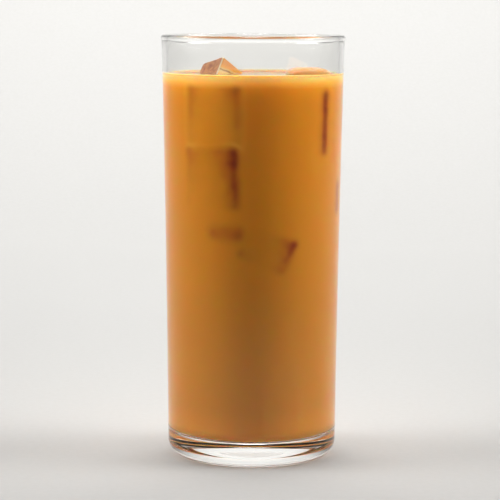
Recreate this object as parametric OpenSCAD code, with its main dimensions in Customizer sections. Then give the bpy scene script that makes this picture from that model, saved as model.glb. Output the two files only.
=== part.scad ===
// Iced coffee: a tall highball glass of milk coffee with ice cubes in it.
// Millimetres, +Z up. The origin is the middle of the ring that the glass stands on.

/* [Glass] */
// Height from the table to the top of the rim
glass_h = 150; // [120:1:190]
// Diameter over the bead of the rim
mouth_d = 65.4; // [54:0.2:80]
// Diameter of the wall just above the rounded heel
foot_d = 60.2; // [50:0.2:74]
// How far the wall is drawn in at half its height
waist = 0.25; // [0:0.05:1]
// Thickness of the wall just under the rim
wall_t = 1.9; // [1.2:0.1:3]
// Thickness of the wall down at the floor
wall_foot_t = 2.2; // [1.4:0.1:4]
// How far the rim's bead stands proud of the wall outside
bead_out = 0.3; // [0.1:0.05:0.6]
// How far the rim's bead stands proud of the wall inside
bead_in = 0.1; // [0.05:0.05:0.4]

/* [Base] */
// Height of the middle of the inside floor above the table
floor_h = 8.2; // [6:0.2:16]
// How much higher the floor is at its edge than in the middle
floor_dish = 0.5; // [0:0.1:1.5]
// Radius of the inside corner between floor and wall
corner_r = 4; // [1:0.5:8]
// Width of the rounded heel
heel_w = 5; // [2:0.5:8]
// Height of the rounded heel
heel_h = 5.8; // [3:0.2:9]
// Width of the flat ring that the glass stands on
ring_w = 2.0; // [1.5:0.1:6]
// Depth of the hollow under the base, inside that ring
punt_h = 2.8; // [0.4:0.1:4]

/* [Coffee] */
// Free height from the rim down to the drink
drink_gap = 14; // [10:0.5:40]
// How high the drink climbs the wall at its edge
meniscus_h = 0.8; // [0.3:0.1:1.5]
// How far in from the wall that climb begins
meniscus_w = 1.8; // [1:0.1:4]

/* [Ice] */
// Clearance between the ice and the wall of the glass
ice_gap = 0.3; // [0.1:0.1:2]
// Sides of the tipped block whose corner stands out of the drink
tipped_size = [18, 12, 20]; // [8:0.5:24]
// Radius that the tipped block's corners have melted to
tipped_melt_r = 13.8; // [10:0.1:15]
// How far the tipped block's middle lies under the drink's surface
tipped_sink = 8.1; // [6:0.1:14]
// Direction of the tipped block from the axis of the glass
tipped_angle = 138; // [100:1:170]
// How the tipped block is turned about X, Y and Z
tipped_turn = [-17, 36, 33]; // [-90:1:90]
// Sides of the domed block: towards the wall, along the wall, upright
domed_size = [17, 16, 19]; // [8:0.5:24]
// Radius of the domed block's melted top
domed_melt_r = 15.2; // [10:0.1:20]
// Height of the dome above the drink
domed_rise = 2.7; // [1:0.1:5]
// Direction of the domed block from the axis of the glass
domed_angle = 9; // [0:1:60]

/* [Hidden] */
$fn = 96;
arc_steps = 12;
wall_steps = 10;

mouth_r = mouth_d / 2;
foot_r = foot_d / 2;
neck_r = mouth_r - bead_out;
bead_r = (bead_out + wall_t + bead_in) / 2;
bead_z = glass_h - bead_r;
ring_r = foot_r - heel_w;
punt_r = ring_r - ring_w;
drink_z = glass_h - drink_gap;
drink_top = drink_z + meniscus_h;
corner_z = floor_h + floor_dish + corner_r;

function lerp(a, b, t) = a + (b - a) * t;
function steps(a, b, n) = [for (i = [0:n]) lerp(a, b, i / n)];

// How far up the straight wall a height lies: 0 on the heel, 1 at the rim
function up_wall(z) = (z - heel_h) / (glass_h - heel_h);

// Outside and inside radius of the wall at a height
function wall_r(z) =
    let (t = up_wall(z)) lerp(foot_r, neck_r, t) - 4 * waist * t * (1 - t);
function cavity_r(z) = wall_r(z) - lerp(wall_foot_t, wall_t, up_wall(z));

// Room from the axis to the wall that a block has all the way between two heights
function narrowest_r(low_z, high_z) = min(cavity_r(low_z), cavity_r(high_z));

// Points of an ellipse's arc in the profile plane, at the given angles
function arc(centre, rx, rz, angles) = [for (a = angles) centre + [rx * cos(a), rz * sin(a)]];

// Inside of the glass, from the middle of the floor to where the drink ends
function cavity_to_drink() =
    let (floor_r = cavity_r(corner_z) - corner_r)
    concat(
        [for (r = steps(0, floor_r, arc_steps)) [r, floor_h + floor_dish * pow(r / floor_r, 2)]],
        arc([floor_r, corner_z], corner_r, corner_r, [for (a = steps(-90, 0, arc_steps)) if (a > -90) a]),
        [for (z = steps(corner_z, drink_top, wall_steps)) if (z > corner_z) [cavity_r(z), z]]
    );

// Dry inside wall, from the edge of the drink up to the bead
function cavity_above_drink() =
    [for (z = steps(drink_top, bead_z, 3)) if (z > drink_top && z < bead_z) [cavity_r(z), z]];

// Round bead that the fire-polished rim ends in, from the inside over the top
function bead() =
    let (inner = 180 + acos(1 - bead_in / bead_r), outer = -acos(1 - bead_out / bead_r))
    arc([mouth_r - bead_r, bead_z], bead_r, bead_r,
        concat([inner], steps(180, 0, arc_steps), [outer]));

// Outside of the glass, from the bead down to the standing ring
function outside() =
    concat(
        [for (z = steps(bead_z, heel_h, wall_steps)) if (z < bead_z && z > heel_h) [wall_r(z), z]],
        arc([ring_r, heel_h], heel_w, heel_h, steps(0, -90, arc_steps))
    );

// Shallow hollow under the base, from the ring to the axis
function punt() = [for (r = steps(punt_r, 0, arc_steps)) [r, punt_h * (1 - pow(r / punt_r, 2))]];

// Curved surface of the drink, from the wall in to the axis
function drink_outline() =
    let (edge_r = cavity_r(drink_top))
    concat(
        [for (t = steps(1, 0, 6)) if (t < 1)
            [edge_r - meniscus_w * (1 - t), drink_z + meniscus_h * t * t]],
        [[0, drink_z]]
    );

// Block of ice whose corners have melted to a sphere
module melted_block(size, melt_r, melt_drop = 0) {
    intersection() {
        cube(size, center = true);
        translate([0, 0, -melt_drop]) sphere(r = melt_r);
    }
}

// Clear block that lies tipped, with one corner out of the drink
module tipped_block() {
    middle_z = drink_z - tipped_sink;
    reach = narrowest_r(middle_z - tipped_melt_r, drink_top) - ice_gap - tipped_melt_r;
    translate([reach * cos(tipped_angle), reach * sin(tipped_angle), middle_z])
        rotate(tipped_turn) melted_block(tipped_size, tipped_melt_r);
}

// Block that floats upright against the wall, with a low melted dome on top
module domed_block() {
    top_z = drink_z + domed_rise;
    middle_z = top_z - domed_size.z / 2;
    room_r = narrowest_r(middle_z - domed_size.z / 2, drink_top) - ice_gap;
    reach = sqrt(pow(room_r, 2) - pow(domed_size.y / 2, 2)) - domed_size.x / 2;
    rotate(domed_angle) translate([reach, 0, middle_z])
        melted_block(domed_size, domed_melt_r, domed_melt_r - domed_size.z / 2);
}

module glass() {
    color([0.86, 0.92, 0.93, 0.45]) rotate_extrude()
        polygon(concat(cavity_to_drink(), cavity_above_drink(), bead(), outside(), punt()));
}

module coffee() {
    color([0.72, 0.44, 0.17]) difference() {
        rotate_extrude() polygon(concat(cavity_to_drink(), drink_outline()));
        tipped_block();
        domed_block();
    }
}

module ice_tipped() {
    color([0.86, 0.66, 0.38]) tipped_block();
}

module ice_domed() {
    color([0.91, 0.72, 0.47]) domed_block();
}

glass();
coffee();
ice_tipped();
ice_domed();
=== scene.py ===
from math import acos, atan2, cos, degrees, hypot, pi, radians, sin

import bpy
from mathutils import Euler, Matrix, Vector


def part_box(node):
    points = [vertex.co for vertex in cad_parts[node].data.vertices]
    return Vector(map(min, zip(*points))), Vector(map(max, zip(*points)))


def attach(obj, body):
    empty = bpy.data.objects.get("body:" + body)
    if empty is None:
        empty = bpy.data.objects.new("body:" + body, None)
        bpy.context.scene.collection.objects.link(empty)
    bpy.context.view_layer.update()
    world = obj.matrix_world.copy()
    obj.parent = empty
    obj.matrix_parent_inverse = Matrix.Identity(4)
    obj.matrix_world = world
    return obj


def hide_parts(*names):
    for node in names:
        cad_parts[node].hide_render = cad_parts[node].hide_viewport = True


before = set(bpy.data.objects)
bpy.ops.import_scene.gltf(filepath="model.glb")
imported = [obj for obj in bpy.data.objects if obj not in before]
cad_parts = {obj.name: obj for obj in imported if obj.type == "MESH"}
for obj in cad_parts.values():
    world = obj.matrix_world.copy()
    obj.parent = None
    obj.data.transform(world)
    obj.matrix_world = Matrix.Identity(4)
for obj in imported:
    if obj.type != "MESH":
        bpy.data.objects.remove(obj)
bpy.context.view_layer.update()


# ---------------------------------------------------------------- The tumbler
# A straight highball tumbler of clear soda-lime glass, pressed in a mould that leaves a thick
# foot, then flame polished, which melts the rim round into a small bead. It stands on a ring.

MM = 0.001
glass_low, glass_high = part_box("glass")
glass_h = (glass_high.z - glass_low.z) / MM
mouth_r = (glass_high.x - glass_low.x) / 2 / MM
foot_r = 30.1
waist = 0.25
wall_t, wall_foot_t = 1.9, 2.2
bead_out, bead_in = 0.3, 0.1
bead_r = (bead_out + wall_t + bead_in) / 2
bead_z = glass_h - bead_r
floor_h, floor_dish, corner_r = 8.2, 0.5, 4.0
heel_w, heel_h = 5.0, 5.8
ring_w, punt_h = 2.0, 2.8
corner_z = floor_h + floor_dish + corner_r
LATHE_STEPS = 144


def steps(start, end, count):
    """Evenly spaced values from start to end, both included."""
    return [start + (end - start) * i / count for i in range(count + 1)]


def arc(centre_r, centre_z, r, z, angles):
    """Points of an ellipse's arc in the profile plane, at angles in degrees."""
    return [(centre_r + r * cos(radians(a)), centre_z + z * sin(radians(a))) for a in angles]


def wall_r(z):
    """Outside radius of the tumbler's wall at a height, in mm."""
    up = (z - heel_h) / (glass_h - heel_h)
    return foot_r + (mouth_r - bead_out - foot_r) * up - 4 * waist * up * (1 - up)


def cavity_r(z):
    """Inside radius of the tumbler's wall at a height, in mm."""
    up = (z - heel_h) / (glass_h - heel_h)
    return wall_r(z) - wall_foot_t - (wall_t - wall_foot_t) * up


def inside_outline(top_z, spare=0.0):
    """The tumbler's inside from the middle of its floor up the wall to a height. What fills the
    glass is drawn with a little to spare, so that it reaches just into the wall."""
    floor_r = cavity_r(corner_z) - corner_r
    floor = [(r, floor_h + floor_dish * (r / floor_r) ** 2 - spare) for r in steps(0, floor_r, 12)]
    corner = arc(floor_r, corner_z, corner_r + spare, corner_r + spare, steps(-90, 0, 12)[1:])
    wall = [(cavity_r(z) + spare, z) for z in steps(corner_z, top_z, 24)[1:]]
    return floor + corner + wall


def turn_on_lathe(name, outline):
    """Draws an outline as a chain of extruded vertices and spins it about the glass's axis."""
    bpy.ops.object.select_all(action="DESELECT")
    bpy.ops.mesh.primitive_plane_add(size=MM)
    piece = bpy.context.object
    piece.name = piece.data.name = name
    bpy.ops.object.mode_set(mode="EDIT")
    bpy.ops.mesh.select_mode(type="VERT")
    bpy.ops.mesh.merge(type="CENTER")
    last_r, last_z = outline[0]
    bpy.ops.transform.translate(value=(last_r * MM, 0, last_z * MM))
    for r, z in outline[1:]:
        step = ((r - last_r) * MM, 0, (z - last_z) * MM)
        bpy.ops.mesh.extrude_vertices_move(TRANSFORM_OT_translate={"value": step})
        last_r, last_z = r, z
    bpy.ops.mesh.select_all(action="SELECT")
    bpy.ops.mesh.spin(steps=LATHE_STEPS, angle=2 * pi, center=(0, 0, 0), axis=(0, 0, 1))
    bpy.ops.mesh.select_all(action="SELECT")
    bpy.ops.mesh.remove_doubles(threshold=0.004 * MM)
    bpy.ops.mesh.normals_make_consistent(inside=False)
    bpy.ops.object.mode_set(mode="OBJECT")
    return piece


def add_node(tree, kind, inputs=None, stops=(), **settings):
    """Adds a shader node with its settings. Its inputs are plain values, or sockets of other
    nodes to link. A colour ramp is also given its stops, as pairs of a place and a colour."""
    made = tree.nodes.new("ShaderNode" + kind)
    for key, value in settings.items():
        setattr(made, key, value)
    for key, value in (inputs or {}).items():
        if isinstance(value, bpy.types.NodeSocket):
            tree.links.new(value, made.inputs[key])
        else:
            made.inputs[key].default_value = value
    if stops:
        elements = made.color_ramp.elements
        while len(elements) < len(stops):
            elements.new(0.5)
        for element, (at, colour) in zip(elements, stops):
            element.position = at
            element.color = srgb(colour)
    return made


def srgb(code):
    """An sRGB hex colour as linear red, green, blue and alpha."""
    parts = [int(code[i:i + 2], 16) / 255 for i in (1, 3, 5)]
    return [c / 12.92 if c <= 0.04045 else ((c + 0.055) / 1.055) ** 2.4 for c in parts] + [1.0]


def new_material(name, **sockets):
    """A material with one Principled BSDF whose plain sockets are set here."""
    material = bpy.data.materials.new(name)
    material.use_nodes = True
    tree = material.node_tree
    tree.nodes.clear()
    shader = add_node(tree, "BsdfPrincipled", {k.replace("_", " "): v for k, v in sockets.items()})
    add_node(tree, "OutputMaterial", {"Surface": shader.outputs[0]})
    return material, tree, shader


def let_light_through(tree, shader):
    """Lets lamps shine straight through a clear piece, as light does on average through glass."""
    clear = add_node(tree, "BsdfTransparent")
    shadow = add_node(tree, "LightPath").outputs["Is Shadow Ray"]
    either = add_node(tree, "MixShader", {0: shadow, 1: shader.outputs[0], 2: clear.outputs[0]})
    tree.links.new(either.outputs[0], tree.nodes["Material Output"].inputs["Surface"])


def soda_lime_glass():
    """Pressed soda-lime glass: clear and colourless, with the faint waviness of the mould,
    which makes long reflections waver a little."""
    material, tree, shader = new_material(
        "soda_lime_glass", Base_Color=srgb("#FEFEFD"), Roughness=0.0, IOR=1.52,
        Transmission_Weight=1.0)
    place = add_node(tree, "TexCoord").outputs["Object"]
    long_waves = add_node(tree, "Mapping", {"Vector": place, "Scale": (1, 1, 0.3)})
    wave = add_node(tree, "TexNoise", {"Vector": long_waves.outputs[0], "Scale": 60.0, "Detail": 1.0})
    bump = add_node(tree, "Bump", {"Height": wave.outputs["Fac"], "Strength": 0.05,
                                   "Distance": 0.5 * MM})
    tree.links.new(bump.outputs[0], shader.inputs["Normal"])
    let_light_through(tree, shader)
    return material


under_bead = bead_z - 1.0
outside = [(wall_r(z), z) for z in steps(heel_h, under_bead, 28)[1:]]
bead_outer = -degrees(acos(1 - bead_out / bead_r))
bead_inner = 180 + degrees(acos(1 - bead_in / bead_r))
bead = arc(mouth_r - bead_r, bead_z, bead_r, bead_r,
           steps(bead_outer, 0, 4) + steps(0, 180, 20)[1:] + steps(180, bead_inner, 2)[1:])
ring_r = foot_r - heel_w
punt_r = ring_r - ring_w
punt = [(r, punt_h * (1 - (r / punt_r) ** 2)) for r in steps(0, punt_r, 16)]
heel = arc(ring_r, heel_h, heel_w, heel_h, steps(-90, 0, 16))
inside = inside_outline(under_bead)
tumbler = turn_on_lathe("tumbler", punt + heel + outside + bead + inside[::-1])
bpy.ops.object.shade_smooth_by_angle(angle=radians(20))
tumbler.data.materials.append(soda_lime_glass())
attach(tumbler, "root")
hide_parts("glass")


# ---------------------------------------------------------------- The ice
# Clear ice blocks from a tray, their edges melted round. One lies tipped with a corner out of
# the drink, one floats at the wall with a low dome that coffee has run over, and six more
# lie under the surface, hidden by the coffee, which shows them only as painted shade at the wall.

def melt(piece, edge_mm, uneven_mm, seed):
    """Rounds the edges of the block in hand and makes its faces a little uneven, as melting
    does: edges first, then small random shifts, smoothed by subdivision."""
    bpy.ops.object.mode_set(mode="EDIT")
    bpy.ops.mesh.select_all(action="SELECT")
    bpy.ops.mesh.bevel(offset=edge_mm * MM, segments=2, profile=0.55, affect="EDGES")
    bpy.ops.mesh.select_all(action="SELECT")
    bpy.ops.mesh.subdivide(number_cuts=1)
    bpy.ops.transform.vertex_random(offset=uneven_mm * MM, seed=seed)
    bpy.ops.mesh.normals_make_consistent(inside=False)
    bpy.ops.object.mode_set(mode="OBJECT")
    modifier = piece.modifiers.new("melted", "SUBSURF")
    modifier.levels = modifier.render_levels = 2
    bpy.ops.object.modifier_apply(modifier=modifier.name)
    bpy.ops.object.shade_smooth()


def ice_block(name, size_mm, middle_mm, turn, edge_mm, uneven_mm, seed):
    """One block: a cube at its size, melted, then turned and moved to its place."""
    bpy.ops.object.select_all(action="DESELECT")
    bpy.ops.mesh.primitive_cube_add(size=1)
    piece = bpy.context.object
    piece.name = piece.data.name = name
    piece.scale = [side * MM for side in size_mm]
    bpy.ops.object.transform_apply(location=False, rotation=False, scale=True)
    melt(piece, edge_mm, uneven_mm, seed)
    piece.rotation_euler = Euler([radians(a) for a in turn])
    piece.location = [place * MM for place in middle_mm]
    bpy.ops.object.transform_apply(location=True, rotation=True, scale=False)
    return piece


def clear_ice():
    """Wet tray ice: clear, faintly warm from the drink around it, with a rippled melted skin."""
    material, tree, shader = new_material(
        "wet_clear_ice", Base_Color=srgb("#FFF3DC"), Roughness=0.02, IOR=1.31,
        Transmission_Weight=1.0)
    place = add_node(tree, "TexCoord").outputs["Object"]
    ripple = add_node(tree, "TexNoise", {"Vector": place, "Scale": 220.0, "Detail": 2.0})
    bump = add_node(tree, "Bump", {"Height": ripple.outputs["Fac"], "Strength": 0.25,
                                   "Distance": 0.3 * MM})
    tree.links.new(bump.outputs[0], shader.inputs["Normal"])
    let_light_through(tree, shader)
    return material


def coffee_washed_ice():
    """Ice that coffee has just run over: a wet, opaque, pale tan film with paler streaks."""
    material, tree, shader = new_material("coffee_washed_ice", Roughness=0.08, IOR=1.33,
                                          Subsurface_Weight=0.8, Subsurface_Scale=3.0 * MM)
    place = add_node(tree, "TexCoord").outputs["Object"]
    streak = add_node(tree, "TexNoise", {"Vector": place, "Scale": 160.0, "Detail": 3.0})
    tone = add_node(tree, "Mix", {0: streak.outputs["Fac"], 6: srgb("#DDA05A"), 7: srgb("#EAB474")},
                    data_type="RGBA")
    tree.links.new(tone.outputs[2], shader.inputs["Base Color"])
    bump = add_node(tree, "Bump", {"Height": streak.outputs["Fac"], "Strength": 0.2,
                                   "Distance": 0.3 * MM})
    tree.links.new(bump.outputs[0], shader.inputs["Normal"])
    return material


def mark_faces(piece, turn):
    """Stores two numbers on each vertex: how far its normal leans from the block's own three
    directions, 0 on the flat faces to 1 along the melted edges, and which way the face looks,
    -1 for the left to 1 for the right."""
    axes = Euler([radians(a) for a in turn]).to_matrix().col
    full_lean = 0.12
    edge = piece.data.attributes.new("melted_edge", "FLOAT", "POINT")
    side = piece.data.attributes.new("face_side", "FLOAT", "POINT")
    for vertex in piece.data.vertices:
        straight = max(abs(vertex.normal.dot(axis)) for axis in axes)
        edge.data[vertex.index].value = min(1.0, (1 - straight) / full_lean)
        side.data[vertex.index].value = vertex.normal.x


# A crack runs through the tipped block. This is the direction it faces, how far from the origin
# it lies in that direction, how much it wavers, and how far its colours reach, in mm
CRACK_FACES = (0.408, 0, 0.913)
CRACK_AT, CRACK_WAVES, CRACK_REACH = 121.8, 1.2, 2.0


def ice_with_painted_light():
    """Clear ice standing out of the drink, with the light that comes through the coffee under it
    painted on: one face mauve brown in painted shade, the other golden in painted light and
    crossed by a crack with painted bright reflections along it, and melted edges with a painted
    highlight."""
    material, tree, shader = new_material("ice_with_painted_amber_light", Roughness=0.04, IOR=1.31,
                                          Transmission_Weight=0.12)
    place = add_node(tree, "TexCoord").outputs["Object"]
    swirl = add_node(tree, "TexNoise", {"Vector": place, "Scale": 300.0, "Detail": 2.0,
                                        "Distortion": 1.0}).outputs["Fac"]
    cloudy = add_node(tree, "MapRange", {0: swirl, 1: 0.35, 2: 0.65}).outputs[0]
    # Painted shade: the left face's mauve brown stands in for coffee seen dimly through the clear ice
    brown = add_node(tree, "Mix", {0: cloudy, 6: srgb("#9C6656"), 7: srgb("#D09C70")},
                     data_type="RGBA").outputs[2]
    across = add_node(tree, "VectorMath", {0: place, 1: [part / MM for part in CRACK_FACES]},
                      operation="DOT_PRODUCT").outputs["Value"]
    waves = add_node(tree, "Math", {0: swirl, 1: CRACK_WAVES}, operation="MULTIPLY").outputs[0]
    wavy = add_node(tree, "Math", {0: across, 1: waves}, operation="ADD").outputs[0]
    past = add_node(tree, "Math", {0: wavy, 1: CRACK_AT}, operation="SUBTRACT").outputs[0]
    by_crack = add_node(tree, "MapRange", {0: past, 1: -CRACK_REACH, 2: CRACK_REACH}).outputs[0]
    # The crack itself is the dark line; the bright bands on each side of it are painted reflection,
    # and the gold beyond is painted light
    cracked = add_node(tree, "ValToRGB", {0: by_crack}, stops=[
        (0.0, "#FFCF50"), (0.4, "#FFF0B0"), (0.46, "#9A5620"), (0.52, "#9A5620"),
        (0.6, "#FFE08A"), (0.68, "#FFAE00"), (1.0, "#F09400")]).outputs[0]
    # Painted light: the right face's gold, with a paler random haze, stands in for lit coffee seen
    # through the clear ice
    haze = add_node(tree, "Math", {0: cloudy, 1: 0.3}, operation="MULTIPLY").outputs[0]
    golden = add_node(tree, "Mix", {0: haze, 6: cracked, 7: srgb("#FFD66A")},
                      data_type="RGBA").outputs[2]
    side = add_node(tree, "Attribute", attribute_name="face_side").outputs["Fac"]
    right = add_node(tree, "MapRange", {0: side, 1: -0.1, 2: 0.1}).outputs[0]
    # Painted shade on the faces that look left, painted light on those that look right
    faces = add_node(tree, "Mix", {0: right, 6: brown, 7: golden}, data_type="RGBA").outputs[2]
    edge = add_node(tree, "Attribute", attribute_name="melted_edge").outputs["Fac"]
    # Painted highlight along the melted edges
    painted_edge_highlight = add_node(tree, "MapRange", {0: edge, 1: 0.4, 2: 0.8}).outputs[0]
    tone = add_node(tree, "Mix", {0: painted_edge_highlight, 6: faces, 7: srgb("#FFF3D2")},
                    data_type="RGBA").outputs[2]
    tree.links.new(tone, shader.inputs["Base Color"])
    let_light_through(tree, shader)
    return material


def middle_of(node):
    """Middle of a CAD node's box, in mm."""
    low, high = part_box(node)
    return [(a + b) / 2 / MM for a, b in zip(low, high)]


# The tipped block
tipped_size, tipped_turn = (18, 12, 20), (-17, 36, 33)
tipped_ice = ice_block("tipped_ice", tipped_size, middle_of("ice_tipped"), tipped_turn,
                       edge_mm=0.9, uneven_mm=0.2, seed=3)
mark_faces(tipped_ice, tipped_turn)
tipped_ice.data.materials.append(ice_with_painted_light())
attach(tipped_ice, "root")
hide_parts("ice_tipped")

# The domed block
DOMED_SIZE, DOMED_TURN, DOMED_EDGE = (17, 16, 19), (0, 0, 9), 4.5
domed_ice = ice_block("domed_ice", DOMED_SIZE, middle_of("ice_domed"), DOMED_TURN,
                      DOMED_EDGE, uneven_mm=0.3, seed=5)
domed_ice.data.materials.append(coffee_washed_ice())
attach(domed_ice, "root")
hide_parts("ice_domed")

# The sunk blocks: size, height of the middle, direction from the front (right is positive),
# how far the middle lies from the axis, turn about X, Y and Z in degrees, and melted edge
SUNK_BLOCKS = [
    ((17.8, 15, 21.0), 122.9, -27, 19.8, (5.0, 0, -28), 1.0),
    ((17.8, 14, 20.2), 101.9, -27, 20.3, (4.0, 0, -33), 1.0),
    ((12, 12, 21), 120.4, 54, 21.55, (1.8, 1.8, 9), 1.0),
    ((12, 12, 12.5), 93.4, 76, 20.9, (0, 0, 31), 2.5),
    ((13, 9, 7), 82.6, -18, 23.6, (0, 4, -18), 3.4),
    ((16, 12, 11), 77.0, 12, 20.9, (0, 24, 6), 1.0),
]
blocks = []
for number, (size, height, direction, out, turn, edge) in enumerate(SUNK_BLOCKS):
    middle = (out * sin(radians(direction)), -out * cos(radians(direction)), height)
    blocks.append(ice_block(f"block_{number}", size, middle, turn, edge,
                            uneven_mm=0.25, seed=11 + number))
bpy.ops.object.select_all(action="DESELECT")
for block in blocks:
    block.select_set(True)
bpy.context.view_layer.objects.active = blocks[0]
bpy.ops.object.join()
sunk_ice = bpy.context.object
sunk_ice.name = sunk_ice.data.name = "sunk_ice"
sunk_ice.data.materials.append(clear_ice())
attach(sunk_ice, "root")


# ---------------------------------------------------------------- The coffee
# Milk coffee, poured over the ice to 14 mm under the rim. It climbs the wall a little at its
# edge and fills the glass to just inside the wall. It is cut back round the two ice blocks that
# stand out of it, and runs on through the sunk ones, which it hides.

drink_z = glass_h - 14.0
meniscus_h, meniscus_w = 0.8, 1.8
INTO_WALL = 0.05


def drink_outline():
    """The drink's outline: the tumbler's inside, then down the climb at the wall to the axis."""
    edge_r = cavity_r(drink_z + meniscus_h) + INTO_WALL
    climb = [(edge_r - meniscus_w * (1 - t), drink_z + meniscus_h * t * t)
             for t in steps(1, 0, 8)[1:]]
    flat = [(r, drink_z) for r in steps(edge_r - meniscus_w, 0, 4)[1:]]
    return inside_outline(drink_z + meniscus_h, INTO_WALL) + climb + flat


def cut(piece, tool, operation):
    """Cuts a piece with another, or trims it to the other, by an exact boolean."""
    bpy.ops.object.select_all(action="DESELECT")
    bpy.context.view_layer.objects.active = piece
    piece.select_set(True)
    modifier = piece.modifiers.new("cut", "BOOLEAN")
    modifier.operation = operation
    modifier.solver = "EXACT"
    modifier.object = tool
    bpy.ops.object.modifier_apply(modifier=modifier.name)


# How thick a film of coffee hides a sunk block, and how deep the painted light from above reaches, in
# mm
FILM_HIDES, GLOW_DEPTH = 2.6, 16.0


def film_over_block(tree, place, size, height, direction, out, turn, edge):
    """How much coffee lies between a point and a sunk block, in mm: the distance from the point
    to a box with melted edges."""
    middle = (out * sin(radians(direction)), -out * cos(radians(direction)), height)
    own = add_node(tree, "Mapping", {
        "Vector": place, "Location": [side * MM for side in middle],
        "Rotation": [radians(a) for a in turn], "Scale": (MM, MM, MM)}, vector_type="TEXTURE")
    folded = add_node(tree, "VectorMath", {0: own.outputs[0]}, operation="ABSOLUTE")
    core = [side / 2 - edge for side in size]
    past = add_node(tree, "VectorMath", {0: folded.outputs[0], 1: core}, operation="SUBTRACT")
    past = add_node(tree, "VectorMath", {0: past.outputs[0], 1: (0, 0, 0)}, operation="MAXIMUM")
    away = add_node(tree, "VectorMath", {0: past.outputs[0]}, operation="LENGTH")
    return add_node(tree, "Math", {0: away.outputs["Value"], 1: edge},
                    operation="SUBTRACT").outputs[0]


def lit_drink(tree, place, height):
    """The drink's colour, with light and shade painted into it. Painted light makes it paler by the
    foot and in the last 16 mm under the surface, where light enters; it is faintly cloudy all
    through. Where a sunk block leaves only a film of coffee at the wall, painted shade makes it
    darker, to red-brown, with a painted bright seam between two blocks, and painted light from
    the top block's face. Over the domed block the coffee is thin and loses its light, so its
    colour is painted stronger there to make up for it."""
    level = add_node(tree, "MapRange", {0: height, 1: 0.0, 2: drink_z * MM}).outputs[0]
    # Painted light: paler at the foot, where light comes up through the base, and towards the top
    painted_light_by_height = add_node(tree, "ValToRGB", {0: level}, stops=[
        (0.07, "#F4A226"), (0.15, "#E0951B"), (0.4, "#E0961A"), (0.85, "#EE9E1E")]).outputs[0]
    milk = add_node(tree, "TexNoise", {"Vector": place, "Scale": 30.0, "Detail": 2.0})
    cloud = add_node(tree, "Mix", {0: milk.outputs["Fac"], 6: srgb("#F9F9F9"),
                                   7: srgb("#FFFFFF")}, data_type="RGBA").outputs[2]
    drink = add_node(tree, "Mix", {0: 1.0, 6: painted_light_by_height, 7: cloud}, data_type="RGBA",
                     blend_type="MULTIPLY").outputs[2]

    films = [film_over_block(tree, place, *block) for block in SUNK_BLOCKS]
    film = films[0]
    for other in films[1:]:
        film = add_node(tree, "Math", {0: film, 1: other}, operation="MINIMUM").outputs[0]
    patches = add_node(tree, "TexNoise", {"Vector": place, "Scale": 170.0, "Detail": 2.0})
    uneven = add_node(tree, "MapRange", {0: patches.outputs["Fac"], 1: 0.3, 2: 0.7,
                                         3: -0.3, 4: 0.3}).outputs[0]
    film = add_node(tree, "Math", {0: film, 1: uneven}, operation="ADD").outputs[0]
    seen = add_node(tree, "MapRange", {0: film, 1: 0.0, 2: FILM_HIDES, 3: 1.0, 4: 0.0}).outputs[0]
    # Painted shade: darker, to red-brown, where only a thin film of coffee lies over a sunk block
    painted_shade_over_ice = add_node(tree, "ValToRGB", {0: seen}, stops=[
        (0.0, "#FFFFFF"), (0.35, "#F4F5F2"), (0.6, "#E6D0C8"), (0.8, "#C9A08C"),
        (1.0, "#A35A20")]).outputs[0]
    body = add_node(tree, "Mix", {0: 1.0, 6: drink, 7: painted_shade_over_ice}, data_type="RGBA",
                    blend_type="MULTIPLY").outputs[2]

    # Painted light: the top block's flat face shines a little through the 1 to 4 mm of coffee over it
    over_face = add_node(tree, "Math", {0: films[0], 1: 0.25}, operation="MULTIPLY").outputs[0]
    face = add_node(tree, "ValToRGB", {0: over_face}, stops=[
        (0.25, "#000000"), (0.5, "#5A3A14"), (0.65, "#5A3A14"), (0.9, "#000000")]).outputs[0]
    body = add_node(tree, "Mix", {0: 1.0, 6: body, 7: face}, data_type="RGBA",
                    blend_type="SCREEN").outputs[2]

    # Painted light in the last 16 mm under the surface, where light from above enters
    rising = add_node(tree, "MapRange", {0: height, 1: (drink_z - GLOW_DEPTH) * MM,
                                         2: drink_z * MM}).outputs[0]
    painted_glow = add_node(tree, "ValToRGB", {0: rising}, stops=[
        (0.0, "#000000"), (0.45, "#0E0A02"), (0.75, "#503E06"), (0.97, "#B4C864")]).outputs[0]
    lit = add_node(tree, "Mix", {0: 1.0, 6: body, 7: painted_glow}, data_type="RGBA",
                   blend_type="SCREEN").outputs[2]

    # Painted light: a bright seam midway between the two sunk blocks stacked on the left
    apart = add_node(tree, "Math", {0: films[0], 1: films[1]}, operation="SUBTRACT").outputs[0]
    midway = add_node(tree, "Math", {0: apart}, operation="ABSOLUTE").outputs[0]
    between = add_node(tree, "MapRange", {0: midway, 1: 0.0, 2: 1.0, 3: 1.0, 4: 0.0}).outputs[0]
    nearer = add_node(tree, "Math", {0: films[0], 1: films[1]}, operation="MINIMUM").outputs[0]
    near = add_node(tree, "MapRange", {0: nearer, 1: 0.9, 2: 3.0, 3: 0.8, 4: 0.0}).outputs[0]
    seam = add_node(tree, "Math", {0: between, 1: near}, operation="MULTIPLY").outputs[0]
    lit = add_node(tree, "Mix", {0: seam, 6: lit, 7: srgb("#FABC4C")},
                   data_type="RGBA").outputs[2]

    x, y, z = middle_of("ice_domed")
    over_dome = film_over_block(tree, place, DOMED_SIZE, z, degrees(atan2(x, -y)), hypot(x, y),
                                DOMED_TURN, DOMED_EDGE)
    # Painted colour that makes up for the light the thin coffee over the domed block loses
    thin = add_node(tree, "MapRange", {0: over_dome, 1: 0.0, 2: 3.0, 3: 1.0, 4: 0.0}).outputs[0]
    return add_node(tree, "Mix", {0: thin, 6: lit, 7: srgb("#FF6E08")},
                    data_type="RGBA").outputs[2]


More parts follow.
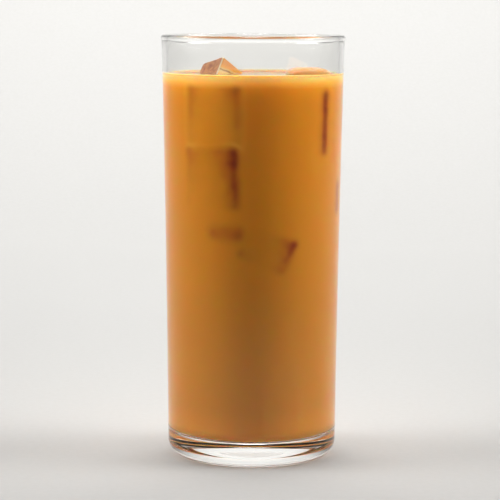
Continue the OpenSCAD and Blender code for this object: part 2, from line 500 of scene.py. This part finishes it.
def milk_coffee(name, against_glass):
    """Milk coffee: light goes a few millimetres in and comes back warm. Its open surface is wet,
    glossy and a duller brown, with a painted pale reflection where it climbs the wall. Against
    the glass it has no gloss face on and a soft haze at a slant, and is a mirror at a flat slant,
    which keeps the foot clear. There a painted pale band of light lies in the last 2 mm under
    the surface."""
    material, tree, shader = new_material(
        name, Roughness=0.12, IOR=1.35, Specular_IOR_Level=0.0 if against_glass else 0.5,
        Sheen_Weight=0.5 if against_glass else 0.0, Sheen_Roughness=0.5,
        Sheen_Tint=srgb("#D4F0B0"),
        Subsurface_Weight=1.0, Subsurface_Radius=(1.0, 0.24, 0.04), Subsurface_Scale=8.0 * MM)
    place = add_node(tree, "TexCoord").outputs["Object"]
    height = add_node(tree, "SeparateXYZ", {0: place}).outputs["Z"]
    if against_glass:
        slant = add_node(tree, "Fresnel", {"IOR": 1.35 / 1.52})
        mirror = add_node(tree, "BsdfGlossy", {"Color": srgb("#FFFFFF"), "Roughness": 0.02})
        either = add_node(tree, "MixShader", {0: slant.outputs[0], 1: shader.outputs[0],
                                              2: mirror.outputs[0]})
        tree.links.new(either.outputs[0], tree.nodes["Material Output"].inputs["Surface"])
        # Painted light: a pale band in the last 2 mm under the surface
        top_from, top_to, top_colour = -1.8, 0.6, srgb("#C2CC90")
    else:
        top_from, top_to, top_colour = -0.06, -0.01, srgb("#A87640")
    top = add_node(tree, "MapRange", {0: height, 1: (drink_z + top_from) * MM,
                                      2: (drink_z + top_to) * MM}).outputs[0]
    tone = add_node(tree, "Mix", {0: top, 6: lit_drink(tree, place, height), 7: top_colour},
                    data_type="RGBA").outputs[2]
    # Painted pale reflection where the drink climbs the wall
    climb_from, climb_to = 0.02, 0.3
    painted_meniscus_shine = add_node(tree, "MapRange", {0: height, 1: (drink_z + climb_from) * MM,
                                          2: (drink_z + climb_to) * MM}).outputs[0]
    tone = add_node(tree, "Mix", {0: painted_meniscus_shine, 6: tone, 7: srgb("#AE9E78")},
                    data_type="RGBA").outputs[2]
    tree.links.new(tone, shader.inputs["Base Color"])
    return material


coffee = turn_on_lathe("milk_coffee", drink_outline())
for block in (tipped_ice, domed_ice):
    cut(coffee, block, "DIFFERENCE")
bpy.ops.object.shade_smooth_by_angle(angle=radians(40))
coffee.data.materials.append(milk_coffee("milk_coffee", False))
coffee.data.materials.append(milk_coffee("milk_coffee_against_glass", True))
for face in coffee.data.polygons:
    middle = face.center / MM
    at_wall = hypot(middle.x, middle.y) > cavity_r(middle.z)
    face.material_index = int(middle.z < corner_z or at_wall)
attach(coffee, "root")
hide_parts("coffee")


# ---------------------------------------------------------------- Studio
# A pale table that curves up into a backdrop, two broad soft boxes high at the sides, a small
# one overhead, a strip that lights the backdrop, and a room that is dim in front. The camera has
# a long lens and is a little above the rim.

def pale_paper():
    """Matt white backdrop paper."""
    material, tree, shader = new_material("backdrop_paper", Roughness=0.9)
    place = add_node(tree, "TexCoord").outputs["Object"]
    fibre = add_node(tree, "TexNoise", {"Vector": place, "Scale": 400.0, "Detail": 2.0})
    tone = add_node(tree, "Mix", {0: fibre.outputs["Fac"], 6: srgb("#C0BFBC"), 7: srgb("#C6C5C3")},
                    data_type="RGBA")
    tree.links.new(tone.outputs[2], shader.inputs["Base Color"])
    return material


bpy.ops.object.select_all(action="DESELECT")
table_size, table_y, backdrop_h, bend_size = 6.0, -1.8, 2.5, 0.6
bpy.ops.mesh.primitive_plane_add(size=table_size, location=(0, table_y, 0))
backdrop = bpy.context.object
backdrop.name = "backdrop"
bpy.ops.object.transform_apply(location=True, rotation=False, scale=False)
bpy.ops.object.mode_set(mode="EDIT")
bpy.ops.mesh.select_mode(type="EDGE")
bpy.ops.mesh.select_all(action="DESELECT")
bpy.ops.object.mode_set(mode="OBJECT")
far_y = max(v.co.y for v in backdrop.data.vertices)
for edge in backdrop.data.edges:
    edge.select = all(backdrop.data.vertices[v].co.y > far_y - MM for v in edge.vertices)
bpy.ops.object.mode_set(mode="EDIT")
bpy.ops.mesh.extrude_region_move(TRANSFORM_OT_translate={"value": (0, 0, backdrop_h)})
bpy.ops.mesh.select_all(action="SELECT")
bpy.ops.object.mode_set(mode="OBJECT")
bend = backdrop.modifiers.new("bend", "BEVEL")
bend.width, bend.segments, bend.angle_limit = bend_size, 24, radians(30)
bpy.ops.object.modifier_apply(modifier=bend.name)
bpy.ops.object.shade_smooth()
backdrop.data.materials.append(pale_paper())


def soft_light(name, place, aim, size, watts, spread=180):
    """A rectangular soft box at a place, facing a point. A grid on it narrows its spread."""
    light = bpy.data.lights.new(name, "AREA")
    light.shape = "RECTANGLE"
    light.size, light.size_y = size
    light.energy = watts
    light.spread = radians(spread)
    box = bpy.data.objects.new(name, light)
    bpy.context.scene.collection.objects.link(box)
    box.location = place
    box.rotation_euler = (Vector(aim) - Vector(place)).to_track_quat("-Z", "Y").to_euler()


for side in (-1, 1):
    soft_light("side_box", (side * 0.66, 0.06, 0.56), (0, 0.08, 0.14), (0.7, 0.4), 0.57, spread=45)
soft_light("top_box", (0, 0, 0.8), (0, 0, 0.136), (0.3, 0.3), 0.11, spread=30)
soft_light("backdrop_light", (0, 0.6, 1.0), (0, 1.2, 0.3), (1.6, 0.3), 20.0)

world = bpy.data.worlds.new("light_tent")
bpy.context.scene.world = world
world.use_nodes = True
tent = world.node_tree
tent.nodes.clear()
direction = add_node(tent, "TexCoord").outputs["Generated"]
along = add_node(tent, "SeparateXYZ", {0: direction}).outputs["Y"]
front_light, back_light = 0.01, 0.33
cloth = add_node(tent, "MapRange", {0: along, 1: -0.95, 2: 0.7, 3: front_light, 4: back_light})
tent_light = add_node(tent, "Background", {"Color": srgb("#FFFFFF"), "Strength": cloth.outputs[0]})
add_node(tent, "OutputWorld", {"Surface": tent_light.outputs[0]})

camera_data = bpy.data.cameras.new("camera")
camera_data.lens = 145.7
camera_data.sensor_width = 36.0
camera = bpy.data.objects.new("camera", camera_data)
bpy.context.scene.collection.objects.link(camera)
camera.location = (0, -0.7184, 0.1629)
camera.rotation_euler = (radians(90 - 7.10), radians(-0.22), radians(0.093))
bpy.context.scene.camera = camera
bpy.context.scene.view_settings.view_transform = "Standard"
